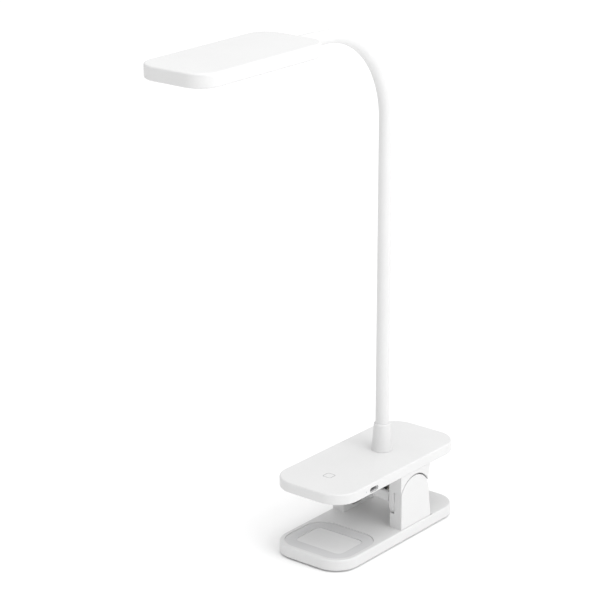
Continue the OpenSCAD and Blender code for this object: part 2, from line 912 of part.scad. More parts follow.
module neck_sleeve_end() {
    color("white")
        at_last_bend() difference() {
            translate([0, 0, sleeve_gap])
                cylinder(h = neck_reach + ferrule_seat - sleeve_gap, r = neck_r);
            translate([0, 0, -1]) cylinder(h = neck_reach + ferrule_l, r = core_r + fit);
            translate([0, 0, -1]) cylinder(h = cup_l + 1 + fit, r = cup_r + fit);
        }
}

// ---- head ----

module head_ferrule() {
    edge = 0.5;
    color("white")
        difference() {
            union() {
                translate([0, ferrule_y, neck_z]) rotate([90, 0, 0])
                    rotate_extrude() polygon([
                        [0, 0],
                        [ferrule_r - edge - 0.15, 0],
                        [ferrule_r - 0.15, edge],
                        [ferrule_r + 0.15, ferrule_l],
                        [0, ferrule_l]
                    ]);
                for (s = [-1, 1]) mirror([s < 0 ? 1 : 0, 0, 0])
                    translate([tongue_in, head_y1 - head_wall - tongue_l, tongue_z0]) {
                        cube([tongue_out - tongue_in, tongue_l + head_wall, tongue_t]);
                        cube([tongue_root - tongue_in, tongue_l + head_wall + 1, tongue_t]);
                    }
            }
            translate([0, ferrule_y, neck_z]) rotate([90, 0, 0]) {
                translate([0, 0, -1]) cylinder(h = ferrule_seat + 1 + fit, r = neck_r + fit);
                translate([0, 0, -1]) cylinder(h = core_seat + 1 + fit, r = core_r + fit);
                cylinder(h = ferrule_l + 1, r = core_bore + 0.6);
            }
            for (s = [-1, 1])
                translate([s * (tongue_in + tongue_out) / 2, tongue_screw_y, tongue_z0 - 1])
                    cylinder(h = tongue_t + 2, r = 0.8 + slip);
        }
}

module ferrule_screws() {
    color("silver")
        for (s = [-1, 1])
            translate([s * (tongue_in + tongue_out) / 2, tongue_screw_y, tongue_z0 - 0.8]) {
                cylinder(h = 0.8, r = 1.6);
                cylinder(h = head_ceiling - tongue_z0 + 1.2, r = 0.8);
            }
}

module head_shell() {
    tongue_top = tongue_z0 + tongue_t;
    color("white")
        difference() {
            union() {
                difference() {
                    translate([0, head_y, head_z0])
                        soft_plate(head_w, head_l, head_r, head_t, head_edge);
                    translate([0, head_y, head_z0 - 1])
                        plate(head_w - 2 * head_wall, head_l - 2 * head_wall, head_r - head_wall,
                            head_t - head_wall + 1);
                }
                for (s = [-1, 1])
                    translate([s * (tongue_in + tongue_out) / 2, tongue_screw_y, tongue_top + fit])
                        cylinder(h = head_ceiling - tongue_top, r = 2.2);
                at_led_screws() translate([0, 0, led_board_z + led_board_t])
                    cylinder(h = led_gap + 0.2, r = 2);
            }
            for (s = [-1, 1]) {
                translate([s * (tongue_in + tongue_out) / 2, tongue_screw_y, tongue_z0])
                    cylinder(h = head_ceiling - tongue_z0 + 0.6, r = 0.8 + fit);
                mirror([s < 0 ? 1 : 0, 0, 0])
                    translate([tongue_in - slip, head_y1 - head_wall - 1, tongue_z0 - slip])
                        cube([tongue_out - tongue_in + 2 * slip, head_wall + 2, tongue_t + 2 * slip]);
            }
            at_led_screws() translate([0, 0, led_board_z]) cylinder(h = 2.9, r = 0.8 + fit);
            translate([0, head_y1 + 1, neck_z]) rotate([90, 0, 0])
                cylinder(h = head_wall + 2, r = core_bore + 0.6);
        }
}

// The places of the screws that hold the light-source board
module at_led_screws() {
    for (y = [-1, 0, 1]) translate([0, head_y + y * (window_l / 2 - 9), 0]) children();
}

module head_bezel() {
    color("white")
        translate([0, head_y, head_z0]) difference() {
            plate(head_w - 2 * head_wall - 2 * slip, head_l - 2 * head_wall - 2 * slip,
                head_r - head_wall - slip, bezel_t);
            translate([0, 0, -1]) plate(window_w, window_l, window_r, bezel_t + 2);
        }
}

module diffuser() {
    color("mintcream")
        translate([0, head_y, 0]) {
            translate([0, 0, glass_z])
                plate(window_w + 2 * glass_lip, window_l + 2 * glass_lip, window_r + glass_lip, glass_t);
            translate([0, 0, head_z0 + glass_inset])
                plate(window_w - 2 * slip, window_l - 2 * slip, window_r - slip,
                    bezel_t - glass_inset + 0.1);
        }
}

module reflector() {
    z0 = glass_z + glass_t + fit;
    color("white")
        translate([0, head_y, z0]) difference() {
            plate(window_w + 2 * box_wall, window_l, window_r, led_board_z - z0 - fit);
            translate([0, 0, -1])
                plate(window_w, window_l - 2 * box_wall, window_r - box_wall, led_board_z - z0 + 2);
        }
}

module led_board() {
    color("whitesmoke")
        difference() {
            translate([0, head_y, led_board_z])
                plate(window_w + 2 * box_wall, window_l - 2, 2, led_board_t);
            at_led_screws() translate([0, 0, led_board_z - 1]) cylinder(h = 4, r = 0.8 + slip);
        }
}

module led_chips() {
    pitch_x = window_w / led_rows / 2;
    pitch_y = window_l / led_cols;
    color("khaki")
        for (s = [-1, 1], i = [0:led_rows - 1], j = [0:led_cols - 1])
            translate([
                s * (i + 0.5) * pitch_x,
                head_y + (j - (led_cols - 1) / 2) * pitch_y,
                led_board_z - led_t / 2
            ]) cube([led_size[0], led_size[1], led_t], center = true);
}

module led_board_screws() {
    color("silver")
        at_led_screws() translate([0, 0, led_board_z - 0.7]) {
            cylinder(h = 0.7, r = 1.5);
            cylinder(h = 3.2, r = 0.8);
        }
}

module head_leads() {
    run_z = head_ceiling - lead_r - 0.05;
    turn_y = head_y1 - head_wall - 3.6;
    color("black")
        for (x = [-0.7, 0.7]) {
            lead([x, head_y1 + 3, neck_z], [x, turn_y, neck_z]);
            lead([x, turn_y, neck_z], [x, turn_y, run_z]);
            lead([x, turn_y, run_z], [x, head_y + window_l / 2 - 5, run_z]);
        }
}

low_shell();
low_cover();
foot_pad();
ballast();
low_screws();
grip_ring();
grip_insert();
ear_cap(-1);  // ear_cap_left
ear_cap(1);  // ear_cap_right
hinge_pin();
pin_clips();
spring_tube();
torsion_spring();
up_shell();
up_tray();
cheek_brace();
hinge_bushes();
up_screws();
up_grip_pad();
battery();
main_board();
board_chips();
board_screws();
usb_c_socket();
charge_light_pipe();
touch_pad();
touch_icon();
battery_leads();
lamp_leads();
neck_collar();
neck_nipple();
nipple_nut();
neck_core_foot();  // neck_core_0
neck_sleeve_foot();  // neck_sleeve_0
neck_core(1);  // neck_core_1
neck_sleeve(1);  // neck_sleeve_1
neck_core(2);  // neck_core_2
neck_sleeve(2);  // neck_sleeve_2
neck_core(3);  // neck_core_3
neck_sleeve(3);  // neck_sleeve_3
neck_core(4);  // neck_core_4
neck_sleeve(4);  // neck_sleeve_4
neck_core(5);  // neck_core_5
neck_sleeve(5);  // neck_sleeve_5
neck_core(6);  // neck_core_6
neck_sleeve(6);  // neck_sleeve_6
neck_core_end();  // neck_core_7
neck_sleeve_end();  // neck_sleeve_7
head_ferrule();
ferrule_screws();
head_shell();
head_bezel();
diffuser();
reflector();
led_board();
led_chips();
led_board_screws();
head_leads();
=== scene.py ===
"""Clip-on reading lamp: the looks of its shells, pads, neck and head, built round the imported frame."""

import json
import math

import bmesh
import bpy
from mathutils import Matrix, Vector


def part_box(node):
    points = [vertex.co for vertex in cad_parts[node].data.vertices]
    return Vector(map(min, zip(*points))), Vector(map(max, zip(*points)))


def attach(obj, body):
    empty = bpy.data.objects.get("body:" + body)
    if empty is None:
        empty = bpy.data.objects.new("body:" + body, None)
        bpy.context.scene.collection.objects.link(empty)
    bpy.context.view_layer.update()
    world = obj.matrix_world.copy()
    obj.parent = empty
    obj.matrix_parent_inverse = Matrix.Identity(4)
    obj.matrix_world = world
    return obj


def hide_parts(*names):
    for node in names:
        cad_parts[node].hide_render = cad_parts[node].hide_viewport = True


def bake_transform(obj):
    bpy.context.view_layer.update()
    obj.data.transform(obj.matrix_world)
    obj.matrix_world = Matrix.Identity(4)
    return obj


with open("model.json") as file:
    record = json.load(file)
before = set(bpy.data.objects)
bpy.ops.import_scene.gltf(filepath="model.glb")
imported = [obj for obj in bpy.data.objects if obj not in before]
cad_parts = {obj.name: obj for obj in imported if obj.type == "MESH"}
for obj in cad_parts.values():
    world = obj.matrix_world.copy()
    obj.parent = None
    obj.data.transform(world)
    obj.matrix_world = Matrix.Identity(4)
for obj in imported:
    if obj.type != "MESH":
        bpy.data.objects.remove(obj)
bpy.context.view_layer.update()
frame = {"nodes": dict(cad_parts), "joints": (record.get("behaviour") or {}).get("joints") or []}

MM = 0.001
BODIES = ["lower_jaw", "upper_jaw", *[f"neck_{k}" for k in range(1, 7)], "head"]


def span(node):
    """Lowest and highest corner of a CAD node, in millimetres."""
    low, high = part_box(node)
    return low / MM, high / MM


# Places that the frame gives, in millimetres
pivot = {j["name"]: Vector(j["pos_m"]) / MM for j in frame["joints"]}
hinge = pivot["jaw_hinge"]
bends = [pivot[f"neck_bend_{k}"] for k in range(1, 8)]
up_low, up_high = span("up_shell")
low_base = span("low_cover")[0].z
ring_low, ring_high = span("grip_ring")
insert_low, insert_high = span("grip_insert")
ear_out = span("ear_cap_right")[1].x
head_low, head_high = span("head_shell")
head_mid = (head_low.y + head_high.y) / 2

# Sizes of the jaws
JAW_CORNER = 18
JAW_EDGE = 1.2
JAW_WALL = 1.6
PLATE = 1.6
RECESS = 1.4
PAD_CORNER = 14.6
low_top = ring_low.z + RECESS
half_w = up_high.x
half_l = up_high.y
screw_x = half_w - 14.3
screw_y = half_l - 5.9
screw_places = [(sx * screw_x, sy * screw_y) for sx in (-1, 1) for sy in (-1, 1)]

# Sizes of the hinge
EAR_RADIUS = 17
CHEEK_RADIUS = 16.5
EAR_WIDTH = 6.5
EAR_FLARE = 4
EAR_LEAN = 2.4
FOOT_FILLET = 1.6
CHEEK_WIDTH = 3.4
CAP = 1.6
SWING_GAP = 1.1
ear_in = ear_out - EAR_WIDTH
cheek_out = ear_in - 0.3
cheek_in = cheek_out - CHEEK_WIDTH
ear_front = hinge.y - EAR_RADIUS + 1.6
ear_rear = hinge.y + EAR_RADIUS

# Sizes of the neck
NECK_RADIUS = 4.7
CORE_RADIUS = 2.5
bend_centre = Vector((0, bends[6].y, bends[4].z))
bend_radius = bends[4].y - bends[6].y


# ---- modelling ----


def activate(piece):
    """Leaves one piece selected and active."""
    bpy.ops.object.select_all(action="DESELECT")
    piece.select_set(True)
    bpy.context.view_layer.objects.active = piece


def placed(name):
    """The primitive that was just added, named and with its place in its mesh."""
    piece = bpy.context.object
    piece.name = piece.data.name = name
    bpy.ops.object.transform_apply(location=True, rotation=True, scale=True)
    return piece


def block(name, low, high):
    """A plain box between two corners."""
    bpy.ops.object.select_all(action="DESELECT")
    bpy.ops.mesh.primitive_cube_add(
        size=1,
        location=[(a + b) / 2 * MM for a, b in zip(low, high)],
        scale=[(b - a) * MM for a, b in zip(low, high)],
    )
    return placed(name)


def rod(name, radius, centre, length, axis="Z", steps=128):
    """A round bar whose middle is at centre."""
    turn = {"X": (0, math.pi / 2, 0), "Y": (math.pi / 2, 0, 0), "Z": (0, 0, 0)}[axis]
    bpy.ops.object.select_all(action="DESELECT")
    bpy.ops.mesh.primitive_cylinder_add(
        vertices=steps, radius=radius * MM, depth=length * MM, location=Vector(centre) * MM, rotation=turn
    )
    return placed(name)


def pick(piece, kind, wanted):
    """Edit mode, with only the vertices, edges or faces selected that are wanted."""
    activate(piece)
    bpy.ops.object.mode_set(mode="EDIT")
    bpy.ops.mesh.select_mode(type=kind)
    bpy.ops.mesh.select_all(action="DESELECT")
    mesh = bmesh.from_edit_mesh(piece.data)
    for part in {"VERT": mesh.verts, "EDGE": mesh.edges, "FACE": mesh.faces}[kind]:
        if wanted(part):
            part.select_set(True)
    mesh.select_flush_mode()
    bmesh.update_edit_mesh(piece.data)


def pick_all(piece):
    """Edit mode, with everything selected."""
    activate(piece)
    bpy.ops.object.mode_set(mode="EDIT")
    bpy.ops.mesh.select_all(action="SELECT")


def done():
    """Back to object mode."""
    bpy.ops.object.mode_set(mode="OBJECT")


def pull(shift):
    """Extrudes what is selected by a shift in metres."""
    bpy.ops.mesh.extrude_region_move(TRANSFORM_OT_translate={"value": shift})


def mend(threshold):
    """Merges doubled points, turns the faces outwards, and goes back to object mode."""
    bpy.ops.mesh.select_all(action="SELECT")
    bpy.ops.mesh.remove_doubles(threshold=threshold * MM)
    bpy.ops.mesh.normals_make_consistent(inside=False)
    done()


def lies_at(axis, place):
    """A test for a vertex, edge or face that lies in the plane across an axis at a place."""

    def test(part):
        points = [part] if isinstance(part, bmesh.types.BMVert) else part.verts
        return all(abs(point.co["XYZ".index(axis)] / MM - place) < 0.002 for point in points)

    return test


def reaches(axis, least):
    """A test for an edge that runs more than a length in millimetres along an axis."""
    k = "XYZ".index(axis)
    return lambda edge: abs(edge.verts[0].co[k] - edge.verts[1].co[k]) > least * MM


def round_edges(piece, radius, steps, wanted):
    """Rounds the edges that are wanted."""
    pick(piece, "EDGE", wanted)
    bpy.ops.mesh.bevel(offset=radius * MM, segments=steps, affect="EDGES", clamp_overlap=False)
    done()


def slab(name, low, high, corner, top=0, bottom=0, corner_steps=18):
    """A flat body with rounded corners seen from above, and soft upper and lower edges."""
    piece = block(name, low, high)
    round_edges(piece, corner, corner_steps, reaches("Z", 0.1))
    if top:
        round_edges(piece, top, 5, lies_at("Z", high[2]))
    if bottom:
        round_edges(piece, bottom, 5, lies_at("Z", low[2]))
    return piece


def sink(piece, place, wall, depth):
    """Hollows the face that lies at a height, leaving a wall round it. Depth is upwards."""
    pick(piece, "FACE", lies_at("Z", place))
    bpy.ops.mesh.inset(thickness=wall * MM)
    pull((0, 0, depth * MM))
    done()


def apply_modifier(piece, kind, **settings):
    """Adds a modifier with these settings and applies it."""
    activate(piece)
    modifier = piece.modifiers.new(kind.lower(), kind)
    for name, value in settings.items():
        setattr(modifier, name, value)
    bpy.ops.object.modifier_apply(modifier=modifier.name)


def combine(piece, other, operation):
    """Adds, cuts away or keeps what the other body shares, and uses the other body up."""
    apply_modifier(piece, "BOOLEAN", object=other, operation=operation, solver="EXACT")
    bpy.data.objects.remove(other)


def joined_flats(piece):
    """Makes one face of neighbours that lie in one plane."""
    pick(piece, "FACE", lambda face: True)
    bpy.ops.mesh.dissolve_limited(angle_limit=math.radians(0.5))
    done()


def soften(piece, width, steps=3):
    """Rounds every edge that is sharper than 40 degrees."""
    apply_modifier(
        piece, "BEVEL", width=width * MM, segments=steps, limit_method="ANGLE", angle_limit=math.radians(40)
    )


def mirrored(piece):
    """Adds the other side of the lamp to a piece."""
    apply_modifier(piece, "MIRROR", use_axis=(True, False, False), use_mirror_merge=False)


def joined(pieces):
    """Several meshes as one object."""
    activate(pieces[0])
    for piece in pieces[1:]:
        piece.select_set(True)
    bpy.ops.object.join()
    return bpy.context.object


def copied(piece, name, shift):
    """A copy with its own mesh, moved by a shift in millimetres."""
    activate(piece)
    bpy.ops.object.duplicate(linked=False)
    bpy.ops.transform.translate(value=Vector(shift) * MM)
    return placed(name)


def turned(name, centre, way, rings, steps=96):
    """A body turned about an axis. Each ring is (radius, place along the axis) from the centre."""
    way = Vector(way)
    bpy.ops.object.select_all(action="DESELECT")
    bpy.ops.mesh.primitive_circle_add(
        vertices=steps,
        radius=rings[0][0] * MM,
        location=(Vector(centre) + way * rings[0][1]) * MM,
        rotation=way.to_track_quat("Z", "Y").to_euler(),
    )
    piece = placed(name)
    pick(piece, "VERT", lambda point: True)
    for (radius, place), (next_radius, next_place) in zip(rings, rings[1:]):
        pull(way * (next_place - place) * MM)
        grow = next_radius / radius
        middle = (Vector(centre) + way * next_place) * MM
        bpy.ops.transform.resize(value=(grow, grow, grow), center_override=middle)
    mend(0.001)
    if rings[0] != rings[-1]:
        pick(piece, "EDGE", lambda edge: edge.is_boundary)
        bpy.ops.mesh.edge_face_add()
        done()
    return piece


def finished(piece, finish, body, stands_for=(), angle=32, flat=True):
    """Closes seams, shades, and gives the piece its finish and its body."""
    pick_all(piece)
    mend(0.002)
    bpy.ops.object.shade_smooth_by_angle(angle=math.radians(angle))
    if flat:
        apply_modifier(piece, "WEIGHTED_NORMAL", keep_sharp=True)
    piece.data.materials.clear()
    piece.data.materials.append(finish)
    if isinstance(body, str):
        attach(piece, body)
    if stands_for:
        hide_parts(*stands_for)


# ---- finishes ----


class Level:
    """A socket that can be used in sums."""

    def __init__(self, finish, socket):
        self.finish, self.socket = finish, socket

    def math(self, operation, *values, clamp=False):
        settings = {"operation": operation, "use_clamp": clamp}
        return self.finish.add("ShaderNodeMath", settings, dict(enumerate(values)))["Value"]

    def then(self, operation, *others):
        """One step of sums that starts from this socket."""
        return self.math(operation, self, *others)

    def __add__(self, other):
        return self.then("ADD", other)

    __radd__ = __add__

    def __sub__(self, other):
        return self.then("SUBTRACT", other)

    def __rsub__(self, other):
        return self.math("SUBTRACT", other, self)

    def __mul__(self, other):
        return self.then("MULTIPLY", other)

    __rmul__ = __mul__

    def __truediv__(self, other):
        return self.then("DIVIDE", other)

    def __abs__(self):
        return self.then("ABSOLUTE")

    def __gt__(self, other):
        return self.then("GREATER_THAN", other)

    def __lt__(self, other):
        return self.then("LESS_THAN", other)

    def ramp(self, start, end):
        """0 below start, 1 above end, and straight between them."""
        return self.math("MULTIPLY", self - start, 1 / (end - start), clamp=True)


class Finish:
    """A material made of nodes."""

    def __init__(self, name):
        self.material = bpy.data.materials.new(name)
        self.material.use_nodes = True
        self.tree = self.material.node_tree
        self.tree.nodes.clear()

    def add(self, kind, settings=None, sockets=None):
        """Adds a node and returns its outputs by name."""
        node = self.tree.nodes.new(kind)
        for name, value in (settings or {}).items():
            if name == "stops":
                ramp = node.color_ramp
                while len(ramp.elements) < len(value):
                    ramp.elements.new(0.5)
                for element, (place, colour) in zip(ramp.elements, value):
                    element.position, element.color = place, (*colour, 1)
            else:
                setattr(node, name, value)
        for name, value in (sockets or {}).items():
            if isinstance(value, Level):
                self.tree.links.new(value.socket, node.inputs[name])
            else:
                node.inputs[name].default_value = value
        return {output.name: Level(self, output) for output in node.outputs if output.enabled}

    def place(self):
        """Object coordinates, in metres."""
        return self.add("ShaderNodeTexCoord")["Object"]

    def axes(self):
        """Object coordinates apart, in millimetres."""
        parts = self.add("ShaderNodeSeparateXYZ", None, {"Vector": self.place()})
        return [parts[axis] * (1 / MM) for axis in "XYZ"]

    def noise(self, size, detail=2.0, roughness=0.5):
        """Even noise whose grains are about this size in millimetres."""
        sockets = {"Vector": self.place(), "Scale": 1 / (size * MM), "Detail": detail, "Roughness": roughness}
        return self.add("ShaderNodeTexNoise", {"noise_dimensions": "3D"}, sockets)["Fac"]

    def blend(self, share, first, second):
        """A colour between two colours."""
        mix = self.tree.nodes.new("ShaderNodeMix")
        mix.data_type = "RGBA"
        for socket, value in ((mix.inputs["Factor"], share), (mix.inputs[6], first), (mix.inputs[7], second)):
            if isinstance(value, Level):
                self.tree.links.new(value.socket, socket)
            else:
                socket.default_value = value if isinstance(value, float) else (*value, 1)
        return Level(self, mix.outputs[2])

    def bump(self, height, depth, strength=1.0):
        """A relief of this depth in millimetres."""
        sockets = {"Height": height, "Distance": depth * MM, "Strength": strength}
        return self.add("ShaderNodeBump", None, sockets)["Normal"]

    def surface(self, **sockets):
        """Ends the material in a surface with these sockets, named with underscores."""
        named = {name.replace("_", " "): value for name, value in sockets.items()}
        shader = self.tree.nodes.new("ShaderNodeBsdfPrincipled")
        for name, value in named.items():
            if isinstance(value, Level):
                self.tree.links.new(value.socket, shader.inputs[name])
            else:
                shader.inputs[name].default_value = value
        output = self.tree.nodes.new("ShaderNodeOutputMaterial")
        self.tree.links.new(shader.outputs[0], output.inputs[0])
        return self.material


def moulded(name, colour, grain=0.3, depth=0.012, rough=0.42, clouds=0.012, **sockets):
    """A moulded plastic or rubber skin: spark-eroded grain, faint flow clouds and handling marks."""
    finish = Finish(name)
    cloud = finish.noise(38, 3.0)
    fine = finish.noise(grain, 2.0, 0.6)
    rubbed = finish.noise(9, 4.0, 0.62)
    lighter = [min(1.0, part * (1 + clouds)) for part in colour]
    darker = [part * (1 - clouds) for part in colour]
    tone = finish.blend(cloud.ramp(0.3, 0.7), darker, lighter)
    speck = finish.noise(0.9, 0.0).ramp(0.76, 0.8)
    tone = finish.blend(speck * 0.25, tone, [part * 0.9 for part in colour])
    return finish.surface(
        Base_Color=tone,
        Roughness=rough + (rubbed - 0.5) * 0.12 + (fine - 0.5) * 0.08,
        Normal=finish.bump(fine, depth),
        **sockets,
    )


def metal(name, colour, rough, grain_along="X"):
    """Plated steel with fine drawn lines along one axis and a mottled plating."""
    finish = Finish(name)
    stretch = {"X": (60, 2600, 2600), "Y": (2600, 60, 2600), "Z": (2600, 2600, 60)}[grain_along]
    drawn = finish.add("ShaderNodeMapping", None, {"Vector": finish.place(), "Scale": stretch})["Vector"]
    lines = finish.add("ShaderNodeTexNoise", None, {"Vector": drawn, "Scale": 1.0, "Detail": 3.0})["Fac"]
    mottle = finish.noise(2.4, 4.0, 0.65)
    tone = finish.blend(mottle.ramp(0.3, 0.72), [part * 0.82 for part in colour], colour)
    return finish.surface(
        Base_Color=tone,
        Metallic=1.0,
        Roughness=rough + (mottle - 0.5) * 0.22 + (lines - 0.5) * 0.1,
        Normal=finish.bump(lines, 0.006),
    )


def board_finish():
    """Green solder mask over square-cornered tracks, with tinned pads; the board's bare edge gets no colour
    of its own.
    """
    finish = Finish("circuit board")
    x, y, _ = finish.axes()
    track_x = abs((x / 2.2).then("FRACT") - 0.5) < 0.13
    track_y = abs((y / 3.1).then("FRACT") - 0.5) < 0.09
    region = finish.noise(9, 0.0) > 0.5
    track = track_x * region + track_y * (1 - region)
    pad = (finish.noise(1.3, 0.0) > 0.71) * track
    mask = finish.blend(track, (0.012, 0.105, 0.05), (0.03, 0.2, 0.09))
    tone = finish.blend(pad, mask, (0.62, 0.6, 0.52))
    return finish.surface(
        Base_Color=tone,
        Metallic=pad,
        Roughness=0.3 + finish.noise(0.8, 2.0) * 0.12,
        Normal=finish.bump(track, 0.02),
        Coat_Weight=0.4,
    )


def wrap_finish():
    """The silvery film of a pouch cell, creased and a little cloudy."""
    finish = Finish("battery wrap")
    crease = finish.add(
        "ShaderNodeTexVoronoi", {"feature": "DISTANCE_TO_EDGE"}, {"Vector": finish.place(), "Scale": 180.0}
    )["Distance"]
    film = finish.noise(3, 5.0, 0.6)
    tone = finish.blend(film, (0.3, 0.36, 0.44), (0.46, 0.53, 0.6))
    return finish.surface(
        Base_Color=tone,
        Metallic=0.55,
        Roughness=0.26 + film * 0.18,
        Normal=finish.bump(crease.ramp(0.0, 0.12) + film * 0.6, 0.05),
    )


def chip_finish():
    """Black moulded epoxy with a laser-dulled top."""
    finish = Finish("chip epoxy")
    fine = finish.noise(0.18, 2.0)
    tone = finish.blend(finish.noise(2.5), (0.016, 0.016, 0.018), (0.035, 0.035, 0.037))
    return finish.surface(Base_Color=tone, Roughness=0.45 + fine * 0.25, Normal=finish.bump(fine, 0.01))


def lead_finish(name, split, first, second):
    """Thin insulation, the first colour below a place across the lamp and the second above it."""
    finish = Finish(name)
    x, _, _ = finish.axes()
    gloss = finish.noise(1.1, 3.0)
    tone = finish.blend((x > split) * 1.0, first, second)
    tone = finish.blend(gloss * 0.2, tone, (0.4, 0.4, 0.4))
    return finish.surface(Base_Color=tone, Roughness=0.28 + gloss * 0.2, Normal=finish.bump(gloss, 0.01))


def socket_finish():
    """The charging socket: a bright drawn shell round a black tongue with gilt contacts."""
    finish = Finish("charging socket")
    x, y, z = finish.axes()
    low, high = span("usb_c_socket")
    middle = (low + high) / 2
    tongue = (abs(z - middle.z) < 0.42) * (abs(y - middle.y) < 3.5)
    stripes = (abs((y / 0.5).then("FRACT") - 0.5) < 0.27) * (abs(y - middle.y) < 2.9)
    contact = stripes * tongue * (x < high.x - 2.2)
    scratch = finish.noise(0.5, 4.0)
    tone = finish.blend(tongue, (0.78, 0.78, 0.79), (0.012, 0.012, 0.014))
    tone = finish.blend(contact, tone, (0.8, 0.6, 0.26))
    return finish.surface(
        Base_Color=tone,
        Metallic=(1 - tongue) * 0.35 + contact,
        Roughness=0.34 + scratch * 0.2,
        Normal=finish.bump(scratch, 0.008),
    )


def opal_finish():
    """Opal sheet: warm milky white, with painted shade that makes it greyer towards its rim, and a fine
    sanded face.
    """
    finish = Finish("opal diffuser")
    x, y, _ = finish.axes()
    low, high = span("diffuser")
    half_x = high.x - 2
    half_y = (high.y - low.y) / 2 - 2
    # Painted shade: the sheet's colour goes greyer over the last 9 mm towards its rim.
    edge = (half_x - abs(x)).then("MINIMUM", half_y - abs(y - head_mid))
    sand = finish.noise(0.22, 2.0, 0.6)
    tone = finish.blend(edge.ramp(0.0, 9.0), (0.72, 0.72, 0.71), (0.83, 0.825, 0.8))
    return finish.surface(
        Base_Color=tone,
        Roughness=0.34 + sand * 0.14,
        Normal=finish.bump(sand, 0.008),
        Coat_Weight=0.25,
    )


def light_source_finish():
    """Yellow phosphor domes; their white frames get no colour of their own."""
    finish = Finish("light source phosphor")
    grain = finish.noise(0.25, 3.0)
    tone = finish.blend(grain, (0.86, 0.66, 0.12), (0.93, 0.8, 0.3))
    return finish.surface(Base_Color=tone, Roughness=0.4 + grain * 0.2, Normal=finish.bump(grain, 0.02))


def foam_finish():
    """Conductive fabric woven round a foam block."""
    finish = Finish("conductive foam")
    x, y, _ = finish.axes()
    weave = (x * 14).then("SINE") * (y * 14).then("SINE")
    tone = finish.blend(weave.ramp(-1, 1), (0.2, 0.2, 0.21), (0.36, 0.36, 0.38))
    rough = 0.5 + weave * 0.1
    return finish.surface(Base_Color=tone, Metallic=0.4, Roughness=rough, Normal=finish.bump(weave, 0.03))


def clear_finish():
    """Clear light pipe with a faint milky core."""
    finish = Finish("clear light pipe")
    cloud = finish.noise(0.8, 2.0)
    tone = finish.blend(cloud, (0.42, 0.45, 0.47), (0.5, 0.53, 0.55))
    rough = 0.08 + cloud * 0.1
    return finish.surface(Base_Color=tone, Roughness=rough, Normal=finish.bump(cloud, 0.004), IOR=1.49)


white = moulded("satin white shell", (0.68,) * 3)
sleeve_white = moulded("white silicone sleeve", (0.69,) * 3, grain=0.5, depth=0.01, rough=0.46, clouds=0.01)
ring_grey = moulded("grey silicone ring", (0.6, 0.6, 0.605), grain=0.22, depth=0.02, rough=0.6, clouds=0.03)
insert_grey = moulded("pale grip insert", (0.72,) * 3, grain=0.22, depth=0.012, rough=0.5, clouds=0.02)
foot_grey = moulded("pale foot rubber", (0.62, 0.62, 0.625), grain=0.4, depth=0.03, rough=0.68, clouds=0.04)
nylon = moulded("natural nylon", (0.74, 0.72, 0.65), grain=0.4, depth=0.01, rough=0.4, clouds=0.03)
icon_print = moulded("grey icon print", (0.33, 0.33, 0.335), grain=0.15, depth=0.006, rough=0.5, clouds=0.05)
reflector_white = moulded(
    "reflector white", (0.86, 0.86, 0.85), grain=0.5, depth=0.006, rough=0.3, clouds=0.01
)
steel = metal("zinc-plated steel", (0.62, 0.63, 0.66), 0.3)
wire_steel = metal("blackened spring wire", (0.05, 0.05, 0.055), 0.42)
core_steel = metal("wound neck core", (0.45, 0.46, 0.48), 0.36, "Z")
light_board = metal("light board aluminium", (0.8, 0.8, 0.79), 0.5, "Y")


# ---- lower jaw ----


def ear_blank(name, x0, x1, foot, crowned=True):
    """An ear between two places across the lamp, drawn up from its foot in levels.

    It has a filleted foot, a leaning rear edge, a straight front and a round top.
    """
    lean = EAR_LEAN / (hinge.z - low_top - FOOT_FILLET)
    flare = ear_rear + EAR_FLARE
    levels = [(ear_front, flare, foot)]
    for angle in range(0, 91, 15):
        turn = math.radians(angle)
        reach, rise = FOOT_FILLET * math.sin(turn), FOOT_FILLET * (1 - math.cos(turn))
        levels.append((ear_front, flare - reach, low_top + rise))
    levels.append((ear_front, ear_rear + lean, hinge.z - 1))
    levels.append((ear_front, ear_rear, hinge.z))
    if crowned:
        corner = math.degrees(math.acos((hinge.y - ear_front) / EAR_RADIUS))
        for angle in sorted([*range(3, 90, 3), corner]):
            reach, rise = (EAR_RADIUS * part(math.radians(angle)) for part in (math.cos, math.sin))
            levels.append((max(ear_front, hinge.y - reach), hinge.y + reach, hinge.z + rise))
    front, rear, height = levels[0]
    across = (x0 + x1) / 2
    bpy.ops.object.select_all(action="DESELECT")
    bpy.ops.mesh.primitive_plane_add(size=1, location=(across * MM, (front + rear) / 2 * MM, height * MM))
    bpy.context.object.scale = ((x1 - x0) * MM, (rear - front) * MM, 1)
    piece = placed(name)
    pick_all(piece)
    for (front, rear, height), (next_front, next_rear, next_height) in zip(levels, levels[1:]):
        shift = (next_front + next_rear - front - rear) / 2 * MM
        pull((0, shift, (next_height - height) * MM))
        middle = Vector((across, (next_front + next_rear) / 2, next_height)) * MM
        grow = (next_rear - next_front) / (rear - front)
        bpy.ops.transform.resize(value=(1, grow, 1), center_override=middle)
    bpy.ops.mesh.select_all(action="SELECT")
    bpy.ops.mesh.normals_make_consistent(inside=False)
    done()
    joined_flats(piece)
    return piece


def ear():
    """The outer ear with its round top, and the thicker part that carries it inside the cheek."""
    outer = ear_blank("ear", ear_in, ear_out - CAP, low_top - 0.5)
    inner = ear_blank("inner ear", cheek_in, ear_in + 0.2, low_top - 0.5, crowned=False)
    swing = rod("swing room", CHEEK_RADIUS + SWING_GAP, (0, hinge.y, hinge.z), 4 * half_w, "X")
    combine(inner, swing, "DIFFERENCE")
    combine(outer, inner, "UNION")
    bore = rod("pin bore", 2.03, (ear_in, hinge.y, hinge.z), 2 * EAR_WIDTH, "X", 48)
    combine(outer, bore, "DIFFERENCE")
    well = rod("clip well", 4, (ear_out - CAP, hinge.y, hinge.z), 3.8, "X", 64)
    combine(outer, well, "DIFFERENCE")
    soften(outer, 0.16, 2)
    return outer


